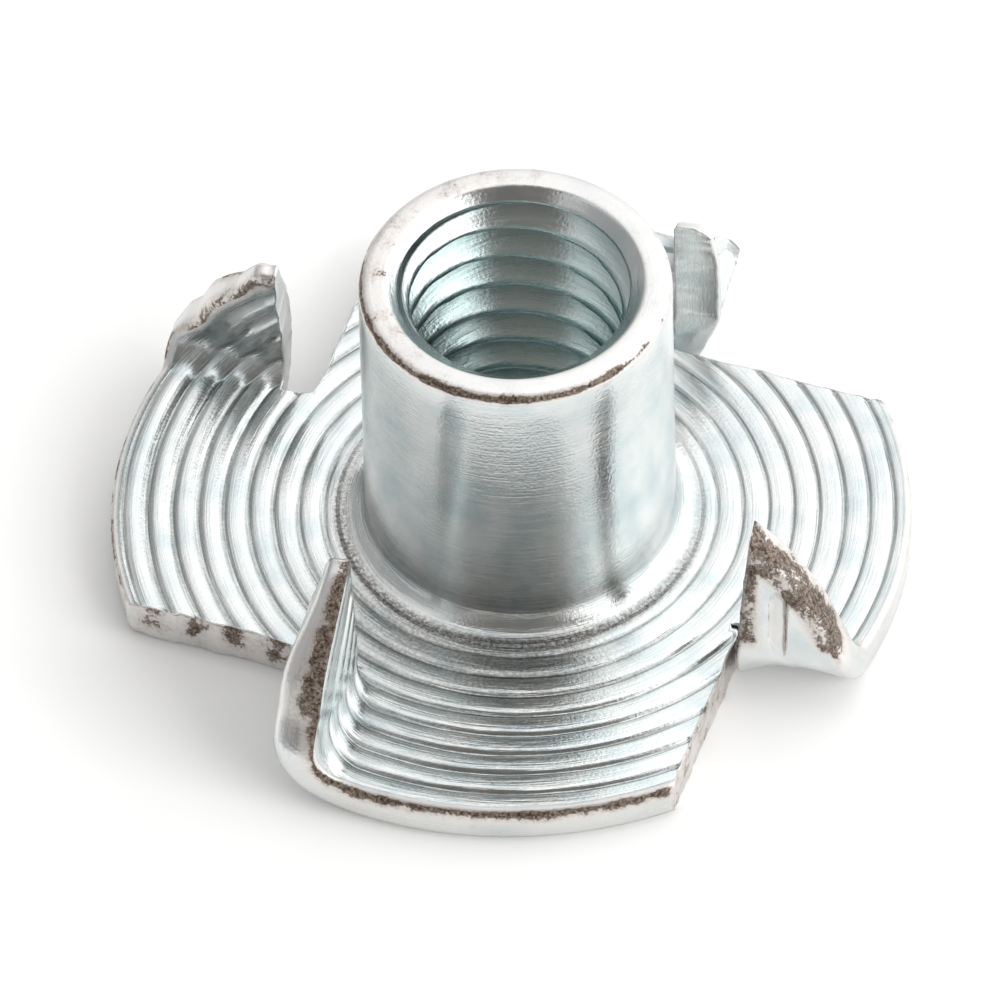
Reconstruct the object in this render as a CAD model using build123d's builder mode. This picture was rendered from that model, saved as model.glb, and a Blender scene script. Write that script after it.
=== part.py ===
"""Tee nut for an M6 bolt, cold-formed in one piece from sheet steel: flange with four turned-up prongs, and a barrel."""

import math
import os

from build123d import *

# Driving sizes in millimetres
flange_diameter = 19.0
flange_thickness = 1.1
rim_top_break = 0.14
rim_bottom_break = 0.24
overall_height = 9.2
barrel_diameter = 7.4
barrel_edge_break = 0.14
barrel_foot_fillet = 0.8
bore_diameter = 5.0
countersink_diameter = 6.1
mouth_rounding = 0.9

ring_outer_radius = 8.89
ring_pitch = 0.6
ring_width = 0.18
ring_depth = 0.08

bend_line_offset = 2.8
bend_inner_radius = 0.4
prong_foot = 5.9
prong_tip = 6.2
prong_top_radius = 9.9
lobe_edge_offset = 5.88
notch_corner_radius = 0.28
joint_step = 0.03
overrun = 0.2

# Counts, angles in degrees and shares
prong_count = 4
ring_count = 7
prong_lean = 6.0
lobe_edge_slant = 8.8
neutral_share = 0.45
bend_step_shares = (0.0, 0.2, 0.4, 0.6, 0.8, 1.0)
ring_stop_shares = (0.06, 0.5, 0.94)

# Sizes that follow
flange_radius = flange_diameter / 2
barrel_radius = barrel_diameter / 2
bore_radius = bore_diameter / 2
countersink_radius = countersink_diameter / 2
countersink_depth = countersink_radius - bore_radius
ring_radii = [ring_outer_radius - step * ring_pitch for step in range(ring_count)]
ring_half = ring_width / 2
ring_half_above = ring_half * (ring_depth + overrun) / ring_depth

bend_angle = 90.0 + prong_lean
bend_turn = math.radians(bend_angle)
bend_length = bend_turn * (bend_inner_radius + neutral_share * flange_thickness)
bend_outer_radius = bend_inner_radius + flange_thickness
bend_height = flange_thickness + bend_inner_radius
unrolled_centre = bend_line_offset + bend_length
prong_length = math.sqrt(prong_top_radius**2 - prong_tip**2) - unrolled_centre
prong_end = math.sqrt(prong_top_radius**2 - unrolled_centre**2)

slant = math.radians(lobe_edge_slant)
beyond_rim = flange_radius + overrun
notch_corner = (lobe_edge_offset - bend_line_offset * math.sin(slant)) / math.cos(slant)
notch_rim = (lobe_edge_offset - beyond_rim * math.sin(slant)) / math.cos(slant)


def bend_plane(turn):
    """The plane through the bend axis, turned from the flat sheet by an angle: X along the bend, Y through the sheet."""
    return Plane(
        origin=(bend_line_offset, 0, bend_height),
        x_dir=(0, 1, 0),
        z_dir=(-math.cos(turn), 0, -math.sin(turn)),
    )


def rim_along_bend(share):
    """Where the rim lies along the bend, as the sheet turns from the flat flange into the prong."""
    ease = share * share * (3 - 2 * share)
    reach = flange_radius + (prong_top_radius - flange_radius) * ease
    return math.sqrt(reach**2 - (bend_line_offset + share * bend_length) ** 2) - joint_step * (1 - share)


def ring_along_bend(radius, share):
    """Where a ring groove lies along the bend."""
    return math.sqrt(radius**2 - (bend_line_offset + share * bend_length) ** 2)


# Bend of one prong: the sheet section turned about the bend axis, with the rim trimmed and the ring grooves carried on
with BuildPart() as bend:
    with BuildSketch(bend_plane(0)):
        Polygon(
            (prong_foot, bend_inner_radius),
            (beyond_rim, bend_inner_radius),
            (beyond_rim, bend_outer_radius),
            (prong_foot, bend_outer_radius),
            align=None,
        )
    revolve(
        axis=Axis((bend_line_offset, 0, bend_height), (0, -1, 0)),
        revolution_arc=bend_angle,
    )
    for share in bend_step_shares:
        rim = rim_along_bend(share)
        with BuildSketch(bend_plane(share * bend_turn)):
            Polygon(
                (rim - rim_top_break, bend_inner_radius - overrun),
                (rim - rim_top_break, bend_inner_radius),
                (rim, bend_inner_radius + rim_top_break),
                (rim, bend_outer_radius - rim_bottom_break),
                (rim - rim_bottom_break, bend_outer_radius),
                (rim - rim_bottom_break, bend_outer_radius + overrun),
                (beyond_rim + overrun, bend_outer_radius + overrun),
                (beyond_rim + overrun, bend_inner_radius - overrun),
                align=None,
            )
    loft(mode=Mode.SUBTRACT)
    for radius in ring_radii:
        if radius**2 - unrolled_centre**2 > (prong_foot + ring_width) ** 2:
            for share in ring_stop_shares:
                along = ring_along_bend(radius, share)
                with BuildSketch(bend_plane(share * bend_turn)):
                    Polygon(
                        (along - ring_half_above, bend_inner_radius - overrun),
                        (along + ring_half_above, bend_inner_radius - overrun),
                        (along, bend_inner_radius + ring_depth),
                        align=None,
                    )
            loft(mode=Mode.SUBTRACT)

# Blade of one prong: a slanted foot edge, a top edge that is the unrolled rim, and the ring grooves on its inner face
blade_start = bend_plane(bend_turn).from_local_coords(Vector(0, bend_inner_radius))
blade_plane = Plane(
    origin=blade_start,
    x_dir=(0, 1, 0),
    z_dir=(math.sin(bend_turn), 0, -math.cos(bend_turn)),
)
ring_plane = Plane(
    origin=blade_plane.from_local_coords(Vector(0, -unrolled_centre)),
    x_dir=(0, 1, 0),
    z_dir=-blade_plane.y_dir,
)
with BuildPart() as blade:
    with BuildSketch(blade_plane):
        with BuildLine():
            Line((prong_foot, 0), (prong_tip, prong_length))
            RadiusArc((prong_tip, prong_length), (prong_end - joint_step, 0), prong_top_radius)
            Line((prong_end - joint_step, 0), (prong_foot, 0))
        make_face()
    extrude(amount=flange_thickness)
    chamfer(blade.edges().filter_by(GeomType.CIRCLE).sort_by(Axis.X)[0], length=rim_top_break)
    chamfer(blade.edges().filter_by(GeomType.CIRCLE).sort_by(Axis.X)[-1], length=rim_bottom_break)
    with BuildSketch(ring_plane):
        for radius in ring_radii:
            if radius > unrolled_centre + ring_width:
                Polygon(
                    (radius - ring_half_above, -overrun),
                    (radius + ring_half_above, -overrun),
                    (radius, ring_depth),
                    align=None,
                )
    revolve(axis=Axis(ring_plane.origin, ring_plane.y_dir), mode=Mode.SUBTRACT)

# Flange and barrel: one turned section, notched for the prongs, with ring grooves pressed in the flange face
with BuildPart() as tee_nut:
    with BuildSketch(Plane.XZ):
        with BuildLine():
            Polyline(
                (barrel_radius, flange_thickness + barrel_foot_fillet),
                (barrel_radius, overall_height - barrel_edge_break),
                (barrel_radius - barrel_edge_break, overall_height),
                (countersink_radius, overall_height),
                (bore_radius, overall_height - countersink_depth),
                (bore_radius, mouth_rounding),
            )
            CenterArc((bore_radius + mouth_rounding, mouth_rounding), mouth_rounding, 180, 90)
            Polyline(
                (bore_radius + mouth_rounding, 0),
                (flange_radius - rim_bottom_break, 0),
                (flange_radius, rim_bottom_break),
                (flange_radius, flange_thickness - rim_top_break),
                (flange_radius - rim_top_break, flange_thickness),
                (barrel_radius + barrel_foot_fillet, flange_thickness),
            )
            CenterArc(
                (barrel_radius + barrel_foot_fillet, flange_thickness + barrel_foot_fillet),
                barrel_foot_fillet,
                180,
                90,
            )
        make_face()
    revolve(axis=Axis.Z)
    with BuildSketch(Plane.XZ):
        for radius in ring_radii:
            Polygon(
                (radius - ring_half_above, flange_thickness + overrun),
                (radius, flange_thickness - ring_depth),
                (radius + ring_half_above, flange_thickness + overrun),
                align=None,
            )
    revolve(axis=Axis.Z, mode=Mode.SUBTRACT)
    with BuildSketch() as notches:
        with PolarLocations(0, prong_count):
            Polygon(
                (bend_line_offset, notch_corner),
                (beyond_rim, notch_rim),
                (beyond_rim, beyond_rim),
                (bend_line_offset, beyond_rim),
                align=None,
            )
        inner_corners = notches.vertices().sort_by_distance((0, 0))[:prong_count]
        fillet(inner_corners, radius=notch_corner_radius)
    extrude(amount=flange_thickness, mode=Mode.SUBTRACT)
    with PolarLocations(0, prong_count):
        add(bend.part)
        add(blade.part)

tee_nut.part.label = "tee_nut"
os.makedirs("parts", exist_ok=True)
export_step(tee_nut.part, "parts/tee_nut.step")
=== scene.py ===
"""Tee nut in bright zinc-plated steel: the visual model on its stage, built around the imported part."""

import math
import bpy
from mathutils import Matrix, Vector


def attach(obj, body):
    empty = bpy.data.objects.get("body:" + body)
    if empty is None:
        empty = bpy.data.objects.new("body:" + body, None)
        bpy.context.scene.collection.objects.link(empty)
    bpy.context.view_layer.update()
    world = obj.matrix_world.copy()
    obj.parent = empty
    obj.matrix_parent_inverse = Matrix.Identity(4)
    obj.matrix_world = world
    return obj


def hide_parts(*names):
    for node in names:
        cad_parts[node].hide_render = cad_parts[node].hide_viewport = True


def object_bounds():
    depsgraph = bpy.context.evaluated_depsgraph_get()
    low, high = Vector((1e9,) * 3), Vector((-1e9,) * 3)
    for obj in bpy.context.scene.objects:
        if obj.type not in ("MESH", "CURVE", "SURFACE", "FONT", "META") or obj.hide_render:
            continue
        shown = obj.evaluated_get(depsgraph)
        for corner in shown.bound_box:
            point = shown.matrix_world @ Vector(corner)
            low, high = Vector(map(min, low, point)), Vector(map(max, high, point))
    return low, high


bl_info = {
    "name": "Tee nut",
    "version": (1, 0, 0),
    "blender": (4, 5, 0),
    "location": "3D View > Sidebar > Tee nut",
    "description": "Builds a pronged tee nut with ring grooves and a cut thread, and a plain stage for it",
    "category": "Add Mesh",
}

import bmesh
import bpy
import numpy as np
from mathutils import Matrix, Vector

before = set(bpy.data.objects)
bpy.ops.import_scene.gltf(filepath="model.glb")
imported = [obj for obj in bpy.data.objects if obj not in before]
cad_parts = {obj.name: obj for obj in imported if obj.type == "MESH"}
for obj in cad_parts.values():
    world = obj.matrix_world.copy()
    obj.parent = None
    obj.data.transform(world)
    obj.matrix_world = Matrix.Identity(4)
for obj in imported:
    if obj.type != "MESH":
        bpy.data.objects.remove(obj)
CAD_BOX = [list(corner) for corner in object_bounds()]
CAD_SIZE = [high - low for low, high in zip(*CAD_BOX)]

MM = 0.001
NODE = "tee_nut"

# What each lobe and its own prong measure on this nut, in millimetres and degrees
LOBE_TABLE = {
    "name": ("back", "left", "front", "right"),
    # How far the rim stands out, the sheared edge's offset, and how far the bend line is off its usual place
    "swell": (0.0, 0.1, 0.0, -0.04),
    "cut": (5.88, 5.70, 6.18, 5.87),
    "line": (-0.95, 0.0, -0.38, 0.0),
    # Where the prong's short edge stands at its foot and tip, and the long edge's radius in the flat sheet
    "foot": (5.8, 6.3, 5.52, 5.85),
    "tip": (6.15, 6.36, 5.98, 6.12),
    "reach": (9.45, 10.2, 10.1, 9.95),
    # Lean towards the barrel, and the bend's inner radius at the short edge and at the rim
    "lean": (1.5, 7.0, 0.0, 6.0),
    "bend": ((0.9, 1.1), (0.45, 0.75), (0.5, 0.9), (0.36, 0.5)),
    # Shares by which the sheet thins, round the bend at THIN_PLACES and towards the tip
    "thin": ((0.15,) * 4, (0.12,) * 4, (0.12,) * 4, (0.05, 0.38, 0.42, 0.15)),
    "taper": (0.3, 0.42, 0.42, 0.1),
    # Rounding of the long edge outside, outside at the tip and inside, its waves, and the tip's blunting
    "edge": ((0.45, 0.5, 0.12), (0.42, 0.4, 0.28), (0.36, 0.42, 0.07), (0.3, 0.36, 0.14)),
    "wave": (
        (-0.1, -0.25, -0.35, -0.3, -0.22, -0.1, 0.0),
        (0.0, 0.1, 0.0, -0.24, -0.08, -0.14, 0.1),
        (0.0, 0.0, 0.02, -0.03, 0.03, 0.0, 0.0),
        (-0.1, -0.3, -0.3, -0.22, -0.08, -0.03, 0.0),
    ),
    "blunt": (0.15, 0.3, 0.16, 0.04),
    # Bare steel on the sheared edge, the short edge, the long edge and the tip, and on the rim a dark line
    # that is part wear and part painted reflection
    "bare": ((0.35, 0.2, 0.4, 0.9), (0.4, 0.35, 0.95, 1.1), (0.64, 0.3, 1.3, 0.85), (0.4, 0.85, 1.1, 1.35)),
    "rim": (0.7, 0.85, 1.25, 0.55),
    # How it is spread over the long edge, from its upper to its lower side
    "levels": (
        (1.2, 1.0, 0.5, 0.4, 0.4, 0.4, 0.2),
        (0.95, 0.7, 0.45, 0.4, 0.5, 0.9, 1.1),
        (0.8, 1.0, 1.0, 0.8, 0.3, 0.3, 0.25),
        (0.1, 0.15, 0.45, 0.9, 1.0, 0.85, 0.7),
    ),
    # Strength of the ring grooves on the prong, and the share of them that is left round the bend
    "rings": (0.0, 1.5, 1.0, 1.0),
    "kept": (0.0, 0.3, 0.6, 0.2),
}
LOBES = [dict(zip(LOBE_TABLE, column)) for column in zip(*LOBE_TABLE.values())]
# Where along a lobe the shares of thin apply, and where across it the waves do
THIN_PLACES = (5.8, 6.8, 7.6, 9.2)
WAVE_PLACES = (2.8, 3.6, 4.4, 5.2, 6.0, 6.8, 7.6)
# How the rim's dark line, part bare steel and part painted reflection, is spread over it, from its upper to
# its lower side
RIM_LEVELS = (0.4, 1.0, 0.75, 0.2, 0.2, 0.2, 0.15)
# The lobe with torn steel on its sheared edge, and the radii at which it shows
TORN = "left"
TORN_PLACES = (9.15, 8.44, 7.77, 7.1)
# The lobe whose prong carries a tool mark, and the mark's sizes
MARKED = "right"
MARK_MIDDLE = 6.87
MARK_HALF = 0.21
MARK_TOP = 2.1
MARK_DEPTH = 0.12
# The flange is a little off the barrel's axis
BLANK_SHIFT = 0.16
BLANK_SHIFT_HEADING = math.radians(191.0)
NEUTRAL_SHARE = 0.45
LOBE_EDGE_SLANT = math.radians(8.8)
LOBE_EDGE_OFFSET = 5.88
# A prong's usual height, and where it starts and ends along its lobe
PRONG_HEIGHT = 3.4
PRONG_START = 5.8
PRONG_END = 9.2
# How far from the notch a shifted bend line takes to reach its own place
SHIFT_EASE = 0.7
# Breaks of the sheared edges above and below
TOP_BREAK = 0.06
BOTTOM_BREAK = 0.12
# Headings round the axis, as the camera sees the nut
FRONT = math.radians(262.0)
FRONT_LEFT = math.radians(255.0)
FAR_LEFT = math.radians(170.0)

# Mesh density, and the levels of points down an edge
COLUMNS_PER_LOBE = 110
BARREL_COLUMNS = 2 * COLUMNS_PER_LOBE
THREAD_ROWS_PER_TURN = 14
LEVELS = 7
MIDDLE_LEVEL = 3
# How far outside the barrel's fillet the flange's mesh starts
FLANGE_GAP = 0.1
# Radius at which brushing on the flange is measured, and steps that keep the faces' brushing apart
BRUSH_RADIUS = 6.5
LOWER_GRAIN = 30.0
EDGE_GRAIN = 60.0
BARREL_GRAIN = 100.0

# The stage: focal length in picture widths, how far the camera aims beside and above the nut, and the lamp
FOCAL_WIDTHS = 21.3
AIM_LEFT = 0.492 * MM
AIM_UP = 0.169 * MM
LAMP_SIZE = 260.0 * MM
LAMP_DISTANCE = 350.0 * MM


def linear(code):
    """An sRGB hex colour as linear red, green and blue."""
    parts = [int(code[i : i + 2], 16) / 255 for i in (1, 3, 5)]
    return tuple(c / 12.92 if c <= 0.04045 else ((c + 0.055) / 1.055) ** 2.4 for c in parts)


def size(name, text, millimetres):
    """A length property whose default is given in millimetres."""
    return bpy.props.FloatProperty(
        name=name, description=text, default=millimetres * MM, subtype="DISTANCE", unit="LENGTH", precision=5
    )


def colour(name, text, code):
    """A colour property whose default is an sRGB hex value."""
    return bpy.props.FloatVectorProperty(
        name=name, description=text, default=linear(code), size=3, min=0.0, max=1.0, subtype="COLOR"
    )


def angle_size(name, text, degrees):
    """An angle property whose default is given in degrees."""
    return bpy.props.FloatProperty(
        name=name, description=text, default=math.radians(degrees), subtype="ANGLE", unit="ROTATION"
    )


def add_node(tree, kind, settings=None, inputs=None):
    """Adds one node with its settings. An input takes a value, or the output that feeds it."""
    node = tree.nodes.new(kind)
    for name, value in (settings or {}).items():
        setattr(node, name, value)
    for socket, value in (inputs or {}).items():
        if isinstance(value, bpy.types.NodeSocket):
            tree.links.new(value, node.inputs[socket])
        else:
            node.inputs[socket].default_value = value
    return node


def maths(tree, operation, first, second=None, third=None, clamp=False):
    """The output of a maths node."""
    inputs = {place: value for place, value in enumerate((first, second, third)) if value is not None}
    return add_node(tree, "ShaderNodeMath", {"operation": operation, "use_clamp": clamp}, inputs).outputs[0]


def times(tree, first, second, clamp=False):
    """The product of two outputs or numbers."""
    return maths(tree, "MULTIPLY", first, second, clamp=clamp)


def vector_maths(tree, operation, first, second):
    """A vector maths node of two inputs."""
    return add_node(tree, "ShaderNodeVectorMath", {"operation": operation}, {0: first, 1: second})


def along(tree, vector, direction):
    """How far a vector reaches along a direction."""
    return vector_maths(tree, "DOT_PRODUCT", vector, direction).outputs["Value"]


def scaled(tree, vector, factor):
    """A vector made longer by a factor."""
    node = add_node(tree, "ShaderNodeVectorMath", {"operation": "SCALE"}, {0: vector, "Scale": factor})
    return node.outputs["Vector"]


def remap(tree, value, low, high, to_low=0.0, to_high=1.0, eased=False):
    """A value carried from one range to another and held at its ends."""
    way = "SMOOTHSTEP" if eased else "LINEAR"
    inputs = {0: value, 1: low, 2: high, 3: to_low, 4: to_high}
    return add_node(tree, "ShaderNodeMapRange", {"interpolation_type": way}, inputs).outputs[0]


def noise(tree, vector, scale, detail, roughness=0.5):
    """A cloudy pattern from about 0.2 to 0.8."""
    inputs = {"Vector": vector, "Scale": scale, "Detail": detail, "Roughness": roughness}
    return add_node(tree, "ShaderNodeTexNoise", None, inputs).outputs[0]


def blend(tree, factor, first, second):
    """A mix of two colours, which are outputs or linear red, green and blue."""
    inputs = {0: factor}
    for socket, value in ((6, first), (7, second)):
        inputs[socket] = value if isinstance(value, bpy.types.NodeSocket) else (*value, 1.0)
    return add_node(tree, "ShaderNodeMix", {"data_type": "RGBA"}, inputs).outputs[2]


def painted(tree, name, output="Fac"):
    """What the mesh keeps on its points, for a material."""
    return add_node(tree, "ShaderNodeAttribute", {"attribute_name": name}).outputs[output]


def stored(tree, name, kind="FLOAT"):
    """What the mesh keeps on its points, for a geometry tree."""
    return add_node(tree, "GeometryNodeInputNamedAttribute", {"data_type": kind}, {"Name": name}).outputs[0]


def smooth(low, high, value):
    """Eases from 0 at low to 1 at high."""
    step = np.clip((value - low) / (high - low), 0.0, 1.0)
    return step * step * (3 - 2 * step)


def wander(generator, places, spacing, amount):
    """A smooth random line along places, with a knot at each spacing."""
    low, high = float(np.min(places)), float(np.max(places))
    knots = max(4, int((high - low) / spacing) + 2)
    values = generator.uniform(-amount, amount, knots)
    return np.interp(places, np.linspace(low, high, knots), values)


class NutSizes(bpy.types.PropertyGroup):
    """The nut's own sizes."""

    flange_diameter: size("Flange diameter", "Across the round flange", CAD_SIZE[0] / MM)
    flange_thickness: size("Sheet thickness", "Thickness of the flange and prongs", 1.1)
    overall_height: size("Overall height", "From the underside to the barrel's end", CAD_SIZE[2] / MM)
    barrel_diameter: size("Barrel diameter", "Across the outside of the barrel", 7.4)
    barrel_edge: size("Barrel edge", "Rounding of the barrel's outer edge", 0.26)
    barrel_foot: size("Barrel foot", "Fillet between barrel and flange", 0.6)
    bore_diameter: size("Bore diameter", "Across the thread's crests", 5.0)
    countersink_diameter: size("Countersink diameter", "Across the countersink at the barrel's end", 6.1)
    mouth_rounding: size("Mouth rounding", "Rounding where the bore opens underneath", 0.9)
    bend_line: size("Bend line", "From the barrel's axis to the line where a prong starts to bend", 2.8)
    rim_top: size("Rim top rounding", "Rounding of the rim's upper edge", 0.2)
    rim_bottom: size("Rim bottom rounding", "Rounding of the rim's lower edge", 0.32)
    ring_radius: size("Outer ring", "Radius of the outermost ring groove", 8.89)
    ring_pitch: size("Ring pitch", "From one ring groove to the next", 0.6)
    ring_width: size("Ring width", "Width of a ring groove", 0.2)
    ring_depth: size("Ring depth", "Depth of a ring groove", 0.075)
    ring_crown: size("Ring crown", "Rise of the band between two grooves", 0.035)
    thread_pitch: size("Thread pitch", "From one turn of the thread to the next", 1.0)
    thread_depth: size("Thread depth", "From the thread's crest to its root", 0.52)


class NutFinish(bpy.types.PropertyGroup):
    """The zinc's colours and gloss."""

    plate: colour("Zinc", "Colour of the bright zinc plate", "#DFE2E1")
    cloud: colour("Clouded zinc", "Colour of the duller, bluish clouds in the plate", "#CAD3D5")
    # The bore's greener colour is a painted reflection of light bounced round the bore
    bore: colour("Bore zinc", "Colour of the plate inside the bore", "#D2E4E3")
    edge: colour("Edge zinc", "Colour of the thin plate on the sheared edges", "#E4E0DD")
    bare: colour("Bare steel", "Colour of torn steel at the sheared edges", "#4E4139")
    gloss: bpy.props.FloatProperty(
        name="Roughness", description="Roughness of plate", default=0.2, min=0.0, max=1.0, subtype="FACTOR"
    )


class StageLooks(bpy.types.PropertyGroup):
    """The floor, the light and the camera."""

    floor: colour("Floor", "Colour of the floor", "#DCDCDB")
    dark_side: colour("Dark side", "Colour of the unlit room on the camera's side", "#827D79")
    shade_side: colour("Shaded side", "Colour of the tent on its far left, away from the lamp", "#AEADAD")
    white_light: bpy.props.FloatProperty(
        name="White light", description="Strength of the white tent", default=2.0, min=0.0, soft_max=3.0
    )
    dark_angle: angle_size("Dark angle", "Half angle of the unlit side", 30.0)
    lamp_power: bpy.props.FloatProperty(
        name="Lamp power", description="Power of the soft lamp", default=1.3, min=0.0, unit="POWER"
    )
    azimuth: angle_size("Azimuth", "Camera's bearing", 11.0)
    elevation: angle_size("Elevation", "Camera's height angle", 49.01)
    roll: angle_size("Roll", "Camera's tilt", 1.45)
    distance: size("Distance", "From the camera to the point it looks at", 506.5)


class Blank:
    """The flat pattern of the nut's sheet, and how it bends. All lengths are in millimetres.

    Each lobe has its own flat axes: s runs out along the lobe, q across it towards its prong. A place is
    given by its radius from the barrel's axis and its angle from s towards q, in the sheet before its bend.
    """

    def __init__(self, sizes):
        self.radius = sizes.flange_diameter / MM / 2
        self.thickness = sizes.flange_thickness / MM
        self.bend_line = sizes.bend_line / MM
        self.rim_top = sizes.rim_top / MM
        self.rim_bottom = sizes.rim_bottom / MM
        slant = LOBE_EDGE_SLANT
        corner = (LOBE_EDGE_OFFSET - self.bend_line * math.sin(slant)) / math.cos(slant)
        self.notch_radius = math.hypot(self.bend_line, corner)
        self.notch_angle = math.atan2(self.bend_line, corner)

    def start(self, lobe, r):
        """Where the bend starts across the lobe, which the notch's corner holds in its usual place."""
        return self.bend_line + lobe["line"] * smooth(0.0, SHIFT_EASE, r - self.notch_radius)

    def bend_sizes(self, lobe, s):
        """The bend's inner radius, its turn and the length of sheet that it takes up."""
        inner, outer = lobe["bend"]
        radius = inner + (outer - inner) * smooth(PRONG_START, PRONG_END, s)
        turn = math.radians(90 + lobe["lean"])
        return radius, turn, turn * (radius + NEUTRAL_SHARE * self.thickness)

    def beyond(self, lobe, q, s):
        """How far a place lies past the start of the bend, and the length of sheet that the bend takes up."""
        return q - self.start(lobe, np.hypot(q, s)), self.bend_sizes(lobe, s)[2]

    def sides(self, lobe, r, q, s, inset_cut, inset_foot):
        """Angles of the lobe's sheared edge and of its prong's short edge at radius r."""
        past = r - self.notch_radius
        near = smooth(0.0, 0.15, past)
        # A lobe that is wider than the others fills its notch, and a narrower one leaves it open
        wider = lobe["cut"] - LOBE_EDGE_OFFSET
        eased = smooth(0.0, 0.35, past) if wider > 0 else smooth(0.3, 1.3, past)
        offset = LOBE_EDGE_OFFSET + wider * eased - inset_cut * near
        cut = np.arccos(np.clip(offset / r, -1, 1)) - (math.pi / 2 - LOBE_EDGE_SLANT)
        run, length = self.beyond(lobe, q, s)
        rise = np.clip((run - length) / PRONG_HEIGHT, 0.0, 1.2)
        foot_line = lobe["foot"] + (lobe["tip"] - lobe["foot"]) * rise + inset_foot * near
        line = self.start(lobe, r) - inset_foot * near
        along_bend = np.arcsin(np.clip(line / r, -1, 1))
        along_foot = np.arccos(np.clip(foot_line / r, -1, 1))
        foot = np.maximum(along_bend, along_foot)
        closed = past <= 1e-6
        cut = np.where(closed, self.notch_angle - math.pi / 2, cut)
        foot = np.where(closed, self.notch_angle, foot)
        return cut, foot

    def rim(self, index, q, s, angle):
        """Radius of the rim, which reaches further out along the prong."""
        lobe = LOBES[index]
        run, length = self.beyond(lobe, q, s)
        ease = smooth(0.0, 1.0, run / length)
        heading = math.pi / 2 * (index + 1) - angle
        shift = BLANK_SHIFT * np.cos(heading - BLANK_SHIFT_HEADING) * (1 - ease)
        wave = np.interp(q, WAVE_PLACES, lobe["wave"]) * ease
        flat = shift + lobe["swell"] * (1 - ease)
        return self.radius + flat + (lobe["reach"] - self.radius) * ease + wave

    def pattern(self, index, radii, to_rim, across, rim_inset, cut_inset, foot_inset):
        """Flat places (q, s), radii and angles for rows of the lobe.

        A row lies at a fixed radius, or a share of the way from there to the rim.
        """
        lobe = LOBES[index]
        radii, to_rim, across, rim_inset, cut_inset, foot_inset = np.broadcast_arrays(
            radii, to_rim, across, rim_inset, cut_inset, foot_inset
        )
        r = radii + to_rim * (self.radius - radii)
        q, s = np.zeros_like(r), r
        # Sides and rim depend on the place itself, so it is found step by step
        for _ in range(8):
            cut, foot = self.sides(lobe, r, q, s, cut_inset, foot_inset)
            angle = cut + (foot - cut) * across
            q, s = r * np.sin(angle), r * np.cos(angle)
            blunted = lobe["blunt"] * smooth(0.93, 1.0, across) ** 2
            rim = self.rim(index, q, s, angle) - rim_inset - blunted
            r = radii + to_rim * (rim - radii)
        return r * np.sin(angle), r * np.cos(angle), r, angle

    def place(self, index, q, s, depth):
        """Points of the bent sheet at a depth below its upper face, and the upper face's normals."""
        lobe = LOBES[index]
        radius, turn, length = self.bend_sizes(lobe, s)
        start = self.start(lobe, np.hypot(q, s))
        run = np.clip(q - start, 0.0, None)
        bent = np.clip(run / length, 0.0, 1.0) * turn
        straight = np.clip(run - length, 0.0, None)
        thinned = np.interp(s, THIN_PLACES, lobe["thin"]) * np.sin(math.pi * bent / turn)
        thinned = thinned + lobe["taper"] * smooth(5.7, 7.7, q)
        arm = radius + depth * (1 - thinned)
        flat = np.minimum(q, start)
        across = flat + arm * np.sin(bent) + straight * np.cos(bent)
        up = self.thickness + radius - arm * np.cos(bent) + straight * np.sin(bent)
        heading = math.pi / 2 * index
        east, north = math.cos(heading), math.sin(heading)
        up = np.broadcast_to(up, across.shape)
        points = np.stack((across * east - s * north, across * north + s * east, up), axis=-1)
        lean = -np.sin(bent)
        normals = np.stack((lean * east, lean * north, np.cos(bent)), axis=-1)
        return points, normals

    def outward(self, index, q, s, depth):
        """Unit directions along the sheet away from the barrel, across the rings."""
        ahead = self.place(index, q * 1.001, s * 1.001, depth)[0] - self.place(index, q, s, depth)[0]
        return ahead / np.linalg.norm(ahead, axis=-1, keepdims=True)

    def climb(self, index, q, s):
        """Height up the prong from the end of its bend."""
        run, length = self.beyond(LOBES[index], q, s)
        return np.clip(run - length, 0.0, None)

    def bent_share(self, index, q, s):
        """How far round the bend a place lies, from 0 on the flat to 1 on the prong."""
        run, length = self.beyond(LOBES[index], q, s)
        return np.clip(run / length, 0.0, 1.0)

    def mark_place(self, index, q, s):
        """Height up the prong, and distance from the middle line of the arched tool mark."""
        height = self.climb(index, q, s)
        return height, np.hypot(s - MARK_MIDDLE, np.clip(height - MARK_TOP + MARK_HALF, 0.0, None))

    def tool_mark(self, index, q, s):
        """Depth of the arched mark that the forming tool left on one prong's outer face."""
        height, away = self.mark_place(index, q, s)
        return MARK_DEPTH * smooth(MARK_HALF + 0.03, MARK_HALF - 0.03, away) * smooth(0.0, 0.9, height)

    def torn_face(self, index, q, s, to_rim):
        """How bare that prong's outer face is: along its edges, in the mark and on its border."""
        height, away = self.mark_place(index, q, s)
        short_edge = smooth(6.6, 6.25, s) * smooth(0.1, 0.7, height)
        long_edge = 0.85 * smooth(0.45, 0.95, to_rim) * smooth(0.2, 0.6, height)
        inside = 2.5 * self.tool_mark(index, q, s)
        # The border is broken at its top and right
        border = smooth(0.09, 0.0, np.abs(away - MARK_HALF))
        border = border * smooth(-0.15, 0.05, s - MARK_MIDDLE) * smooth(0.2, 0.5, height)
        return np.maximum(np.maximum(short_edge, long_edge), np.maximum(inside, border))


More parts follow.
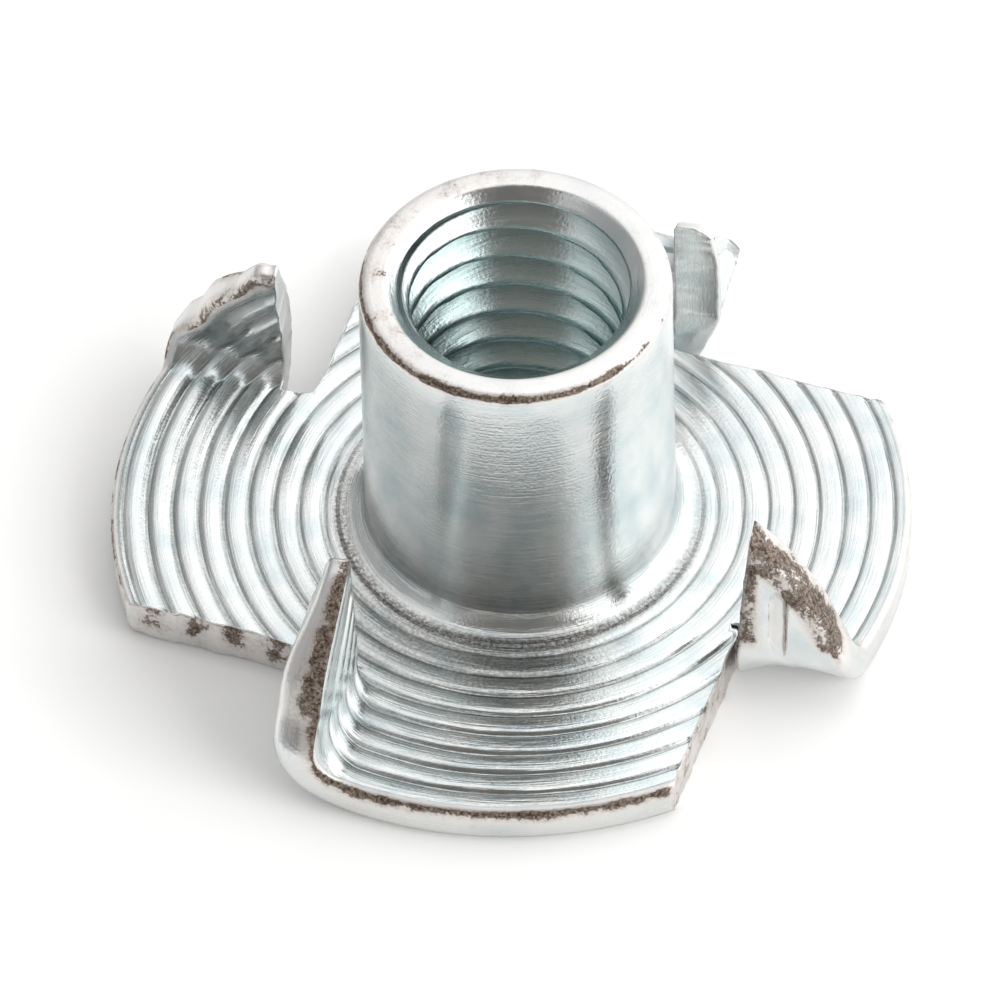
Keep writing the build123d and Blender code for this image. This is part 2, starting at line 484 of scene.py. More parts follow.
class MeshBuild:
    """Collects points with their attributes, and faces."""

    NUMBERS = ("ring_radius", "ring_zone", "thread_zone", "inside", "cut", "brush", "soil")
    VECTORS = ("sheet_normal", "grain", "spread")

    def __init__(self):
        self.points = []
        self.faces = []
        self.values = {name: [] for name in self.NUMBERS + self.VECTORS}

    def add(self, points, normals, grain, spread, **values):
        """Adds points of any array shape and returns their numbers in that shape."""
        shape = points.shape[:-1]
        first = sum(len(block) for block in self.points)
        count = int(np.prod(shape))
        self.points.append(points.reshape(-1, 3))
        for name in self.NUMBERS:
            self.values[name].append(np.broadcast_to(values.get(name, 0.0), shape).reshape(-1))
        for name, vectors in zip(self.VECTORS, (normals, grain, spread)):
            self.values[name].append(np.broadcast_to(vectors, points.shape).reshape(-1))
        return np.arange(first, first + count).reshape(shape)

    def skin(self, numbers):
        """Quads over a grid of point numbers."""
        a, b, c, d = numbers[:-1, :-1], numbers[:-1, 1:], numbers[1:, 1:], numbers[1:, :-1]
        self.faces += np.stack((a, b, c, d), axis=-1).reshape(-1, 4).tolist()

    def mesh(self, name):
        """The finished mesh in metres, closed, with its faces outwards and its attributes on its points."""
        data = bpy.data.meshes.new(name)
        data.from_pydata((np.concatenate(self.points) * MM).tolist(), [], self.faces)
        for key, blocks in self.values.items():
            kind, field = ("FLOAT_VECTOR", "vector") if key in self.VECTORS else ("FLOAT", "value")
            layer = data.attributes.new(key, kind, "POINT")
            layer.data.foreach_set(field, np.concatenate(blocks).astype(np.float32))
        shape = bmesh.new()
        shape.from_mesh(data)
        bmesh.ops.recalc_face_normals(shape, faces=shape.faces)
        loose = [edge for edge in shape.edges if not edge.is_manifold]
        if loose:
            raise RuntimeError(f"{name}: {len(loose)} open or shared edges")
        shape.to_mesh(data)
        shape.free()
        data.polygons.foreach_set("use_smooth", [True] * len(data.polygons))
        return data


def ring_grain(heading, radius, across):
    """Places for brushing that runs round the axis: a circle, and the way across it as the third number."""
    heading, across = np.broadcast_arrays(heading, across)
    return np.stack((radius * np.cos(heading), radius * np.sin(heading), across), axis=-1)


def ring_rows(sizes, start, corner):
    """Radii of the flange's mesh rows: dense at each ring groove, and one exactly at the notch's corner."""
    pitch = sizes.ring_pitch / MM
    half = sizes.ring_width / MM / 2
    outer = sizes.ring_radius / MM
    steps = np.array([-0.5 * pitch, -1.9 * half, -1.2 * half, -0.8 * half, -0.4 * half, 0.0])
    steps = np.concatenate((steps, -steps[-2:0:-1]))
    rows = np.concatenate([outer - k * pitch + steps for k in range(8)])
    rows = np.unique(np.round(rows, 4))
    rows = rows[(rows > start + 0.03) & (rows < outer + 1.3 * half)]
    rows[np.argmin(np.abs(rows - corner))] = corner
    return np.concatenate(([start], rows))


def flange_foot_shade(points, r, start):
    """How much painted shade the flange gets: at the front towards the barrel, and most of all at its foot.
    """
    facing = np.cos(np.arctan2(points[..., 1], points[..., 0]) - FRONT)
    near_barrel = 0.5 * smooth(6.9, 4.8, r) * smooth(0.5, 0.95, facing)
    at_foot = 0.85 * smooth(start + 0.15, start, r) * smooth(-0.9, 0.7, facing)
    return np.maximum(near_barrel, at_foot)


def edge_level(level, t, top, bottom, middle):
    """Inset and depth of one level down an edge that is rounded above and below."""
    if level == MIDDLE_LEVEL:
        return 0.0 * top, middle
    turn = math.radians(90 / MIDDLE_LEVEL * min(level + 1, LEVELS - level))
    inset, depth = 1 - math.sin(turn), 1 - math.cos(turn)
    if level < MIDDLE_LEVEL:
        return top * inset, top * depth
    return bottom * inset, t - bottom * depth


def edge_wear_and_reflection(lobe, level, rim_places, radii, past_corner):
    """How bare one level of a lobe's edge is, the rim's line partly painted reflection: sheared edge, rim
    with the long edge, and short edge.
    """
    bare_cut, bare_foot, bare_long, bare_tip = lobe["bare"]
    long_edge = bare_long * smooth(0.66, 0.74, rim_places)
    long_edge = long_edge + (bare_tip - bare_long) * smooth(0.94, 0.98, rim_places)
    # The rim's upper edge gets a thin dark line, part wear and part painted reflection of the dark room
    long_edge = np.maximum(long_edge * lobe["levels"][level], lobe["rim"] * RIM_LEVELS[level])
    # Both other edges are plated at the notch's corner
    sheared = bare_cut * smooth(0.1, 0.6, past_corner)
    if lobe["name"] == TORN and level <= MIDDLE_LEVEL:
        for torn in TORN_PLACES:
            sheared = np.maximum(sheared, 1.0 - 1.6 * np.abs(radii - torn))
    short_edge = bare_foot * smooth(0.1, 0.8, past_corner)
    return np.concatenate((sheared, long_edge, short_edge[::-1]))[:, None]


def build_flange(blank, sizes, build, start):
    """The flange with its four prongs: upper face, lower face and the edges between them."""
    generator = np.random.default_rng(41)
    t = blank.thickness
    rows = ring_rows(sizes, start, blank.notch_radius)
    fixed = len(rows)
    last = rows[-1]
    # Outside the rings the rows lie at shares of the way to the rim
    shares = np.array([0.2, 0.4, 0.6, 0.8, 0.92, 1.0])
    line = np.concatenate((rows, last + shares * (blank.radius - last)))
    radii = np.concatenate((rows, np.full(len(shares), last)))[:, None]
    to_rim = np.concatenate((np.zeros(fixed), shares))[:, None]
    corner = int(np.argmin(np.abs(rows - blank.notch_radius)))
    side = np.arange(corner, len(radii))
    past_corner = line[side] - blank.notch_radius
    # The lower face has fewer rows, except on the lobe whose prong carries a tool mark
    low_rows = []
    for lobe in LOBES:
        step = 1 if lobe["name"] == MARKED else 3
        low_rows.append([*range(0, corner, 6), *range(corner, fixed, step), *range(fixed, len(radii))])
    low = low_rows[0].index(corner)
    # Beyond the notches the columns crowd towards the prong, where the sheet bends
    even = np.linspace(0, 1, COLUMNS_PER_LOBE + 1)[None, :]
    crowded = np.interp(even, (0.0, 0.6, 1.0), (0.0, 0.72, 1.0))
    across = even + (crowded - even) * smooth(5.2, 7.4, line)[:, None]
    rim_across = across[-1:]
    # The sheared edges are ragged, and the long edge of each prong is rounded in its own way
    rags, tops, bottoms = [], [], []
    raised = smooth(0.58, 0.74, rim_across)
    point = smooth(0.88, 1.0, rim_across)
    for lobe in LOBES:
        cut_rag = wander(generator, line, 0.14, 0.028) + wander(generator, line, 0.5, 0.03)
        foot_rag = wander(generator, line, 0.16, 0.02) + wander(generator, line, 0.6, 0.03)
        rags.append((cut_rag[:, None], foot_rag[:, None]))
        outside, tip, inside = lobe["edge"]
        tops.append(blank.rim_top + (inside - blank.rim_top) * raised)
        bottoms.append(blank.rim_bottom + (outside - blank.rim_bottom) * raised + (tip - outside) * point)
    upper, lower = [], []
    for index, lobe in enumerate(LOBES):
        cut_rag, foot_rag = rags[index]
        q, s, r, angle = blank.pattern(
            index, radii, to_rim, across, tops[index], TOP_BREAK + cut_rag, TOP_BREAK + foot_rag
        )
        points, normals = blank.place(index, q, s, 0.0)
        grain = ring_grain(math.pi / 2 * (index + 1) - angle, BRUSH_RADIUS, r)
        # The bend flattened the rings, and on most prongs they stand out again further up
        zone = 1 - (1 - lobe["kept"]) * smooth(0.0, 0.5, blank.bent_share(index, q, s))
        zone = zone + 1.05 * lobe["rings"] * smooth(0.1, 1.4, blank.climb(index, q, s))
        spread = blank.outward(index, q, s, 0.0)
        numbers = build.add(
            points, normals, grain, spread,
            ring_radius=r, ring_zone=zone, brush=1.0, soil=flange_foot_shade(points, r, start),
        )
        upper.append(numbers)
        picks = low_rows[index]
        q, s, r, angle = blank.pattern(
            index, radii[picks], to_rim[picks], across[picks], bottoms[index],
            BOTTOM_BREAK + cut_rag[picks], BOTTOM_BREAK + foot_rag[picks],
        )
        depth, bare = t, 0.0
        if lobe["name"] == MARKED:
            depth = t - blank.tool_mark(index, q, s)
            bare = blank.torn_face(index, q, s, to_rim[picks])
        points, normals = blank.place(index, q, s, depth)
        grain = ring_grain(math.pi / 2 * (index + 1) - angle, BRUSH_RADIUS, r + LOWER_GRAIN)
        spread = blank.outward(index, q, s, t)
        lower.append(build.add(points, -normals, grain, spread, ring_radius=r, cut=bare, brush=0.3))
    # Inside the notches' corners the lobes share their side columns
    for grids, shared in ((upper, corner + 1), (lower, low + 1)):
        for index in range(4):
            grids[index][:shared, -1] = grids[index - 1][:shared, 0]
    corner_points = {}
    for index, lobe in enumerate(LOBES):
        cut_rag, foot_rag = rags[index]
        top, bottom = tops[index], bottoms[index]
        loop = []
        for level in range(LEVELS):
            rim_inset, rim_depth = edge_level(level, t, top, bottom, (top + t - bottom) / 2)
            edge_inset, edge_depth = edge_level(level, t, TOP_BREAK, BOTTOM_BREAK, t / 2)
            strips = []
            for column, rag, way in ((0, cut_rag, 1), (-1, foot_rag, -1)):
                rough = rag[side] + generator.uniform(-0.012, 0.012, (len(side), 1))
                q, s, r, angle = blank.pattern(
                    index, radii[side], to_rim[side], even[0, column], rim_inset[0, column],
                    edge_inset + rough, edge_inset + rough,
                )
                eased = smooth(0.0, 1.0, to_rim[side])
                depth = edge_depth + (rim_depth[0, column] - edge_depth) * eased
                strips.append((q[::way], s[::way], r[::way], depth[::way]))
            q, s, r, angle = blank.pattern(
                index, radii[-1:], to_rim[-1:], rim_across, rim_inset,
                edge_inset + cut_rag[-1:], edge_inset + foot_rag[-1:],
            )
            rim_strip = tuple(values[0][1:-1, None] for values in (q, s, r, rim_depth))
            q, s, r, depth = (np.concatenate(group) for group in zip(strips[0], rim_strip, strips[1]))
            points, normals = blank.place(index, q, s, depth)
            bare = edge_wear_and_reflection(lobe, level, rim_across[0, 1:-1], line[side], past_corner)
            run = np.arange(len(q))[:, None] * 0.09
            grain = np.stack((run, np.zeros_like(run), depth + EDGE_GRAIN + 10 * index), axis=-1)
            numbers = build.add(points, normals, grain, normals, ring_radius=r, cut=bare, brush=0.2)[:, 0]
            numbers[0] = corner_points.setdefault(((index + 1) % 4, level), numbers[0])
            numbers[-1] = corner_points.setdefault((index, level), numbers[-1])
            loop.append(numbers)
        high_side = upper[index][corner:]
        top_loop = np.concatenate((high_side[:, 0], high_side[-1, 1:-1], high_side[:, -1][::-1]))
        build.skin(np.stack([top_loop] + loop))
        # The lower face has fewer rows than the edge, so each of its steps meets several of the edge's points
        low_side = lower[index][low:]
        bottom_loop = np.concatenate((low_side[:, 0], low_side[-1, 1:-1], low_side[:, -1][::-1]))
        places = [pick - corner for pick in low_rows[index][low:]]
        rim_places = [places[-1] + step for step in range(1, COLUMNS_PER_LOBE)]
        total = len(loop[-1]) - 1
        stops = places + rim_places + [total - place for place in places[::-1]]
        for k in range(len(stops) - 1):
            above = loop[-1][stops[k] : stops[k + 1] + 1].tolist()
            build.faces.append(above + [int(bottom_loop[k + 1]), int(bottom_loop[k])])
        build.skin(upper[index])
        build.skin(lower[index])
    order = (3, 2, 1, 0)
    top_ring = np.concatenate([upper[index][0, :-1] for index in order])
    bottom_ring = np.concatenate([lower[index][0, :-1] for index in order])
    return top_ring, bottom_ring


def round_rows(middle_r, middle_z, radius, first, last, count, threaded=0):
    """Rows of the barrel's profile along a round, between two angles in degrees from outwards to upwards."""
    turns = np.radians(np.linspace(first, last, count))
    return [(middle_r + radius * math.cos(a), middle_z + radius * math.sin(a), threaded) for a in turns]


def build_barrel(blank, sizes, build, start, top_ring, bottom_ring):
    """The barrel from its foot fillet over its end and down the bore, joined to the flange's inner rings."""
    t = blank.thickness
    height = sizes.overall_height / MM
    outer = sizes.barrel_diameter / MM / 2
    foot = sizes.barrel_foot / MM
    edge = sizes.barrel_edge / MM
    bore = sizes.bore_diameter / MM / 2
    sink = sizes.countersink_diameter / MM / 2
    mouth = sizes.mouth_rounding / MM
    turn = sizes.thread_pitch / MM
    rows = round_rows(outer + foot, t + foot, foot, 270, 180, 11)
    for z in np.linspace(t + foot, height - edge, 12)[1:-1]:
        rows.append((outer, z, 0))
    rows += round_rows(outer - edge, height - edge, edge, 0, 90, 6)
    # The countersink's edge is eased over an eighth of a turn, and the thread fades out on its cone
    ease = 0.2
    reach = ease * math.tan(math.pi / 8)
    rows.append((sink + reach + 0.1, height, 0))
    rows += round_rows(sink + reach, height - ease, ease, 90, 135, 5)
    edge_r, edge_z = rows[-1][:2]
    top = height - (sink - bore)
    for a in np.linspace(0, 1, 12)[1:]:
        rows.append((edge_r + (bore - edge_r) * a, edge_z + (top - edge_z) * a, float(smooth(0.35, 1.0, a))))
    steps = int((top - mouth) / turn * THREAD_ROWS_PER_TURN)
    for z in np.linspace(top, mouth, steps)[1:-1]:
        rows.append((bore, z, 1))
    rows += round_rows(bore + mouth, mouth, mouth, 180, 270, 13, 1)
    # The underside is flat from the mouth to the flange
    rows.append((bore + mouth + 0.35, 0.0, 0))
    rows.append((start - 0.12, 0.0, 0))
    profile = np.array(rows)
    first = math.pi / 2 * 4 - (blank.notch_angle - math.pi / 2)
    angles = first - np.arange(BARREL_COLUMNS) * 2 * math.pi / BARREL_COLUMNS
    r, z = profile[:, :1], profile[:, 1:2]
    grid = (len(r), len(angles))
    points = np.stack((r * np.cos(angles), r * np.sin(angles), np.broadcast_to(z, grid)), axis=-1)
    lengths = np.hypot(np.diff(profile[:, 0]), np.diff(profile[:, 1]))
    run = np.concatenate(([0.0], np.cumsum(lengths)))[:, None]
    grain = ring_grain(np.broadcast_to(angles, grid), outer, run + BARREL_GRAIN)
    slope = np.gradient(profile[:, :2], axis=0)
    slope = slope / np.linalg.norm(slope, axis=1, keepdims=True)
    fall, climb = slope[:, :1], slope[:, 1:]
    spread = np.stack((fall * np.cos(angles), fall * np.sin(angles), np.broadcast_to(climb, grid)), axis=-1)
    # How far down the bore a point lies, which tints it greener as a painted reflection
    inside = profile[:, 2:3] * smooth(height - 0.4, height - 1.3, z)
    # The barrel's outer edge gets a thin dark line, part wear and part painted reflection, heavier at the
    # front left, and its end is tarnished in places
    wear_and_reflection = 1.4 * (1 - np.abs((z - height + edge) / edge - 0.6) / 0.6).clip(0, 1) * (r > outer - edge)
    wear_and_reflection = wear_and_reflection * (0.45 + 0.55 * smooth(-0.1, 0.5, np.cos(angles - FRONT_LEFT)))
    far_left = 0.3 + 0.25 * smooth(-0.2, 0.8, np.cos(angles - FAR_LEFT))
    wear_and_reflection = np.maximum(wear_and_reflection, far_left * (z > height - 0.02) * (r < outer - 0.1))
    # Painted shade lies in a thin line round the foot, most of all at the front
    fillet = (r > outer - 0.01) * (z > t - 0.01) * smooth(t + foot, t + 0.5 * foot, z)
    soil = 0.85 * fillet * smooth(t + 0.06, t, z) * smooth(-0.9, 0.7, np.cos(angles - FRONT))
    numbers = build.add(
        points, (0.0, 0.0, 1.0), grain, spread, ring_radius=r, thread_zone=profile[:, 2:3],
        inside=inside, cut=wear_and_reflection, brush=0.35 + 0.4 * inside + 0.5 * fillet, soil=soil,
    )
    closed = np.concatenate((numbers, numbers[:, :1]), axis=1)
    build.skin(closed)
    for ring, row in ((top_ring, closed[0]), (bottom_ring, closed[-1])):
        loop = np.concatenate((ring, ring[:1]))
        for k in range(BARREL_COLUMNS):
            face = [loop[2 * k], loop[2 * k + 1], loop[2 * k + 2], row[k + 1], row[k]]
            build.faces.append([int(number) for number in face])


def new_tree(name, inputs):
    """A geometry tree with a mesh in and out and named number inputs."""
    tree = bpy.data.node_groups.new(name, "GeometryNodeTree")
    tree.interface.new_socket("Geometry", in_out="INPUT", socket_type="NodeSocketGeometry")
    tree.interface.new_socket("Geometry", in_out="OUTPUT", socket_type="NodeSocketGeometry")
    for label in inputs:
        tree.interface.new_socket(label, in_out="INPUT", socket_type="NodeSocketFloat")
    tree.interface.new_socket("Material", in_out="INPUT", socket_type="NodeSocketMaterial")
    return tree


def close_tree(tree, given, name, value, push):
    """Ends a geometry tree: a number kept on the points, the points pushed, and the material set."""
    kept = add_node(
        tree, "GeometryNodeStoreNamedAttribute", {"data_type": "FLOAT", "domain": "POINT"},
        {"Name": name, "Geometry": given["Geometry"], "Value": value},
    )
    moved = add_node(tree, "GeometryNodeSetPosition", None, {"Geometry": kept.outputs[0], "Offset": push})
    real = add_node(tree, "GeometryNodeRealizeInstances", None, {0: moved.outputs[0]})
    dressed = add_node(
        tree, "GeometryNodeSetMaterial", None, {"Geometry": real.outputs[0], "Material": given["Material"]}
    )
    add_node(tree, "NodeGroupOutput", None, {0: dressed.outputs[0]})
    return tree


def ring_tree():
    """Presses ring grooves at an even pitch into the upper face, and bows the bands between them."""
    tree = new_tree("press_rings", ("Outer ring", "Ring pitch", "Ring width", "Ring depth", "Ring crown"))
    given = add_node(tree, "NodeGroupInput").outputs
    place = add_node(tree, "GeometryNodeInputPosition").outputs[0]
    radius = stored(tree, "ring_radius")
    zone = stored(tree, "ring_zone")
    normal = stored(tree, "sheet_normal", "FLOAT_VECTOR")
    # The rings wander a little, as pressed rings do
    swing = remap(tree, noise(tree, place, 0.7 / MM, 1.0), 0.0, 1.0, -0.035, 0.035)
    offset = maths(tree, "SUBTRACT", times(tree, radius, MM), given["Outer ring"])
    turns = maths(tree, "DIVIDE", offset, given["Ring pitch"])
    away = maths(tree, "PINGPONG", maths(tree, "ADD", turns, swing), 0.5)
    # The die stood a little askew, so the rings are wider on the left lobe than on the right one
    lobe_end = 8.5 * MM
    tilt = (math.cos(BLANK_SHIFT_HEADING) / lobe_end, math.sin(BLANK_SHIFT_HEADING) / lobe_end, 0.0)
    askew = remap(tree, along(tree, place, tilt), -1.0, 1.0, 0.32, 0.9)
    width = times(tree, maths(tree, "DIVIDE", given["Ring width"], given["Ring pitch"]), askew)
    groove = remap(tree, away, 0.0, width, 1.0, 0.0, eased=True)
    # Depth differs from place to place by about a third, and the inner rings are fainter
    uneven = remap(tree, noise(tree, place, 0.42 / MM, 2.0), 0.25, 0.75, 0.55, 1.15)
    faint = times(tree, uneven, remap(tree, radius, 4.7, 7.4, 0.3, 1.0))
    cut = times(tree, groove, times(tree, given["Ring depth"], faint))
    bowed = maths(tree, "POWER", remap(tree, away, 0.0, 0.5, 1.0, 0.0), 2.0)
    crown = times(tree, bowed, given["Ring crown"])
    sunk = times(tree, times(tree, maths(tree, "ADD", cut, crown), zone), -1.0)
    return close_tree(tree, given, "groove", times(tree, groove, zone), scaled(tree, normal, sunk))


def thread_tree():
    """Cuts a right-hand thread into the bore: a radius along a helix, where it is wider than the wall."""
    tree = new_tree("cut_thread", ("Thread pitch", "Thread depth", "Crest radius"))
    given = add_node(tree, "NodeGroupInput").outputs
    place = add_node(tree, "GeometryNodeInputPosition").outputs[0]
    zone = stored(tree, "thread_zone")
    parts = add_node(tree, "ShaderNodeSeparateXYZ", None, {0: place}).outputs
    climb = maths(tree, "DIVIDE", maths(tree, "ARCTAN2", parts["Y"], parts["X"]), 2 * math.pi)
    level = maths(tree, "DIVIDE", parts["Z"], given["Thread pitch"])
    away = maths(tree, "PINGPONG", maths(tree, "SUBTRACT", level, climb), 0.5)
    # From 0 at the crest to 1 at the root; the flanks are a little hollow
    near_root = remap(tree, away, 0.055, 0.46)
    flank = times(tree, maths(tree, "POWER", near_root, 0.85), given["Thread depth"])
    wanted = maths(tree, "ADD", flank, given["Crest radius"])
    sideways = add_node(tree, "ShaderNodeCombineXYZ", None, {"X": parts["X"], "Y": parts["Y"]}).outputs[0]
    wall = add_node(tree, "ShaderNodeVectorMath", {"operation": "LENGTH"}, {0: sideways}).outputs["Value"]
    gain = maths(tree, "SUBTRACT", maths(tree, "MAXIMUM", wanted, wall), wall)
    outward = add_node(tree, "ShaderNodeVectorMath", {"operation": "NORMALIZE"}, {0: sideways}).outputs[0]
    push = scaled(tree, outward, times(tree, gain, zone))
    # The share towards the root is kept, and the material darkens the roots with it as painted shade
    return close_tree(tree, given, "root", times(tree, near_root, zone), push)


def apply_trees(piece, steps):
    """Runs geometry trees on a piece one after another and keeps the result as its plain mesh."""
    for tree, values in steps:
        modifier = piece.modifiers.new(tree.name, "NODES")
        modifier.node_group = tree
        for item in tree.interface.items_tree:
            if item.item_type == "SOCKET" and item.in_out == "INPUT" and item.name in values:
                modifier[item.identifier] = values[item.name]
    depsgraph = bpy.context.evaluated_depsgraph_get()
    made = bpy.data.meshes.new_from_object(piece.evaluated_get(depsgraph), depsgraph=depsgraph)
    piece.modifiers.clear()
    old = piece.data
    piece.data = made
    made.name = old.name
    bpy.data.meshes.remove(old)


def zinc_material(finish):
    """Electroplated bright zinc on cold-formed steel.

    The eye sees a bluish-white metal with a soft mirror, clouded in places, brushed round the rings and the
    barrel, with a fine grain, and torn brown steel on the sheared edges.
    """
    material = bpy.data.materials.new("bright_zinc_on_steel")
    material.use_nodes = True
    tree = material.node_tree
    tree.nodes.clear()
    place = add_node(tree, "ShaderNodeTexCoord").outputs["Object"]
    cut = painted(tree, "cut")
    groove = painted(tree, "groove")
    threaded = painted(tree, "inside")
    brush = painted(tree, "brush")

    # Clouds in the plate are about 1.2 mm wide
    cloudy = remap(tree, noise(tree, place, 0.8 / MM, 3.0), 0.42, 0.68)
    plate = blend(tree, cloudy, finish.plate, finish.cloud)
    # Inside the bore the plate is painted greener, a painted reflection of light bounced round the bore, and
    # the thread's roots are darkened with painted shade
    inner = blend(tree, threaded, plate, finish.bore)
    root_shade = remap(tree, painted(tree, "root"), 0.2, 1.0, 0.0, 0.65)
    root_shaded = blend(tree, root_shade, inner, linear("#88A3A2"))
    # The sheared edges took a thinner, warmer plate
    warmth = times(tree, cut, 1.6, clamp=True)
    warm = blend(tree, warmth, root_shaded, finish.edge)

    # Torn steel lies in patches about 0.6 mm wide, in grains of about 0.09 mm from dark to light brown
    patches = noise(tree, place, 1.6 / MM, 5.0, 0.65)
    grains = noise(tree, place, 11.0 / MM, 3.0, 0.7)
    frayed = maths(tree, "MULTIPLY_ADD", grains, 0.5, patches)
    chance = maths(tree, "MULTIPLY_ADD", cut, 0.6, frayed)
    bare = remap(tree, chance, 1.23, 1.3)
    rusty = blend(tree, remap(tree, grains, 0.4, 0.68), finish.bare, linear("#A99C90"))

    # Brushing runs along the rings and round the barrel, with lines about 0.07 mm apart
    stretched = vector_maths(tree, "MULTIPLY", painted(tree, "grain", "Vector"), (0.6, 0.6, 16.0)).outputs[0]
    brushed = noise(tree, stretched, 1.0, 3.0, 0.6)
    # Grooves on the flange are darkened with painted grey shade, in streaks along the brushing
    bent = remap(tree, painted(tree, "ring_zone"), 1.0, 1.2)
    groove_shade = times(tree, groove, remap(tree, bent, 0.0, 1.0, 0.8, 0.0))
    streaked = remap(tree, maths(tree, "MULTIPLY_ADD", grains, 0.35, brushed), 0.5, 0.82, 0.25, 1.25)
    groove_shaded = blend(tree, times(tree, groove_shade, streaked, clamp=True), warm, linear("#858B87"))
    # Painted grey-brown shade in grains lies round the barrel's foot
    sprinkled = remap(tree, grains, 0.38, 0.62, 0.45, 1.15)
    soil = times(tree, painted(tree, "soil"), sprinkled, clamp=True)
    foot_shaded = blend(tree, soil, groove_shaded, linear("#6B645E"))
    # The plate is tarnished round the torn steel
    tarnished = blend(tree, remap(tree, chance, 1.05, 1.25, 0.0, 0.5), foot_shaded, linear("#B3A9A1"))
    skin = blend(tree, bare, tarnished, rusty)

    # The relief has the brushing, the plate's own grain of about 0.08 mm, and the torn steel
    specks = noise(tree, place, 12.0 / MM, 2.0)
    fine = maths(tree, "MULTIPLY_ADD", specks, 0.35, times(tree, brushed, brush))
    rugged = maths(tree, "MAXIMUM", times(tree, warmth, 0.2), bare)
    relief = maths(tree, "MULTIPLY_ADD", times(tree, grains, rugged), 3.0, fine)
    bump = add_node(
        tree, "ShaderNodeBump", None, {"Strength": 1.0, "Distance": 0.016 * MM, "Height": relief}
    )

    # Where it is hardly brushed, as on the barrel, the plate is glossier
    dull = remap(tree, brushed, 0.3, 0.7, finish.gloss - 0.05, finish.gloss + 0.1)
    sheen = times(tree, dull, remap(tree, brush, 0.0, 1.0, 0.72, 1.0))
    # Sheared steel is rough, bare or plated, the bend dulled the prongs' rings, and the thread is duller
    rough = maths(tree, "MULTIPLY_ADD", maths(tree, "MAXIMUM", bare, warmth), 0.3, sheen)
    matt = maths(tree, "MULTIPLY_ADD", times(tree, groove, bent), 0.4, rough)
    roughness = maths(tree, "MULTIPLY_ADD", threaded, 0.04, matt)
    shader = add_node(
        tree, "ShaderNodeBsdfPrincipled", None,
        {
            "Metallic": 1.0, "Base Color": skin, "Roughness": roughness, "Normal": bump.outputs[0],
            "Tangent": painted(tree, "spread", "Vector"), "Anisotropic": times(tree, brush, 0.5),
        },
    )
    add_node(tree, "ShaderNodeOutputMaterial", None, {"Surface": shader.outputs[0]})
    return material


class NUT_OT_body(bpy.types.Operator):
    """Builds the whole nut as one closed piece in place of the plain solid"""

    bl_idname = "teenut.body"
    bl_label = "Build the nut"

    def execute(self, context):
        sizes = context.scene.nut_sizes
        blank = Blank(sizes)
        build = MeshBuild()
        start = (sizes.barrel_diameter / 2 + sizes.barrel_foot) / MM + FLANGE_GAP
        top_ring, bottom_ring = build_flange(blank, sizes, build, start)
        build_barrel(blank, sizes, build, start, top_ring, bottom_ring)
        piece = bpy.data.objects.new("tee_nut_body", build.mesh("tee_nut_body"))
        context.scene.collection.objects.link(piece)
        material = zinc_material(context.scene.nut_finish)
        rings = {
            "Outer ring": sizes.ring_radius,
            "Ring pitch": sizes.ring_pitch,
            "Ring width": sizes.ring_width,
            "Ring depth": sizes.ring_depth,
            "Ring crown": sizes.ring_crown,
            "Material": material,
        }
        thread = {
            "Thread pitch": sizes.thread_pitch,
            "Thread depth": sizes.thread_depth,
            "Crest radius": sizes.bore_diameter / 2,
            "Material": material,
        }
        apply_trees(piece, ((ring_tree(), rings), (thread_tree(), thread)))
        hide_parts(NODE)
        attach(piece, "root")
        return {"FINISHED"}


def camera_axes(looks):
    """The camera's right, up and back directions."""
    turn, rise, roll = looks.azimuth, looks.elevation, looks.roll
    back = Vector((math.sin(turn) * math.cos(rise), -math.cos(turn) * math.cos(rise), math.sin(rise)))
    level = Vector((math.cos(turn), math.sin(turn), 0.0))
    up = back.cross(level)
    right = level * math.cos(roll) - up * math.sin(roll)
    return right, level * math.sin(roll) + up * math.cos(roll), back


def make_floor(scene, looks):
    """A wide floor of pale paper."""
    shape = bmesh.new()
    bmesh.ops.create_grid(shape, x_segments=2, y_segments=2, size=1.0)
    data = bpy.data.meshes.new("floor")
    shape.to_mesh(data)
    shape.free()
    floor = bpy.data.objects.new("floor", data)
    scene.collection.objects.link(floor)
    material = bpy.data.materials.new("white_paper_floor")
    material.use_nodes = True
    tree = material.node_tree
    tree.nodes.clear()
    rays = add_node(tree, "ShaderNodeLightPath").outputs
    seen = maths(tree, "MAXIMUM", rays["Is Camera Ray"], rays["Is Glossy Ray"])
    paper = add_node(tree, "ShaderNodeBsdfDiffuse", None, {"Color": (*looks.floor, 1.0)})
    # To the camera and in the metal the paper turns white away from the nut, and it keeps the nut's shadow
    spot = add_node(tree, "ShaderNodeTexCoord").outputs["Object"]
    away = vector_maths(tree, "DISTANCE", spot, (0.0, -4.0 * MM, 0.0)).outputs["Value"]
    whiter = remap(tree, away, 9.0 * MM, 16.0 * MM, 0.11, 0.32, eased=True)
    glow = add_node(tree, "ShaderNodeEmission", None, {"Strength": times(tree, seen, whiter)})
    total = add_node(tree, "ShaderNodeAddShader", None, {0: paper.outputs[0], 1: glow.outputs[0]})
    add_node(tree, "ShaderNodeOutputMaterial", None, {"Surface": total.outputs[0]})
    data.materials.append(material)


